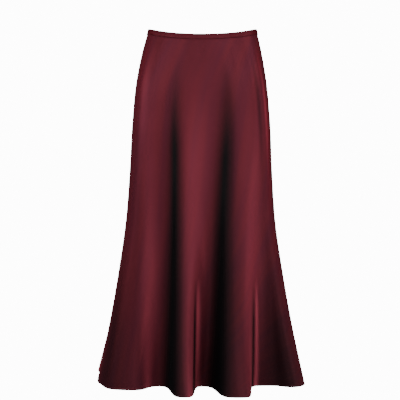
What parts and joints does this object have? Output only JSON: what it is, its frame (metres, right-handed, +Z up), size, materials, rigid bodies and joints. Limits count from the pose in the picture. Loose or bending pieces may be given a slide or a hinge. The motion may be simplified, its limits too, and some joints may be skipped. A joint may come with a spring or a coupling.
{
  "type": "mermaid fishtail skirt",
  "caption": "Long satin skirt, close over the waist and hips, flaring from the knee into deep flutes at the hem, with a narrow waistband and a concealed back zip.",
  "frame": {"origin": "centre of the waist opening, level with the waist edge at the sides and back", "axes": "+Z up the body, the front of the skirt towards -Y, the wearer's left towards +X"},
  "size_m": [0.5138, 0.4118, 0.8456],
  "materials": {
    "satin": "wine red satin, smooth, bright where it faces the light and nearly black in the folds",
    "band_satin": "the same satin, doubled over a light interfacing",
    "zip_tape": "fine woven polyester tape, matt",
    "enamelled_metal": "wine red enamel, glossy"
  },
  "bodies": {
    "skirt": {"front_panel": "satin", "back_left_panel": "satin", "back_right_panel": "satin", "waistband_front": "band_satin", "waistband_back_left": "band_satin", "waistband_back_right": "band_satin", "zip_tape_left": "zip_tape", "zip_tape_right": "zip_tape", "zip_slider": "enamelled_metal"},
    "pull": {"zip_pull": "enamelled_metal"}
  },
  "joints": [
    {"name": "pull_tab_hinge", "type": "hinge", "parent": "skirt", "child": "pull", "pos_m": [-0.00018, 0.10088, -0.00618], "axis": [1, 0, 0], "range_deg": [0, 160]}
  ]
}
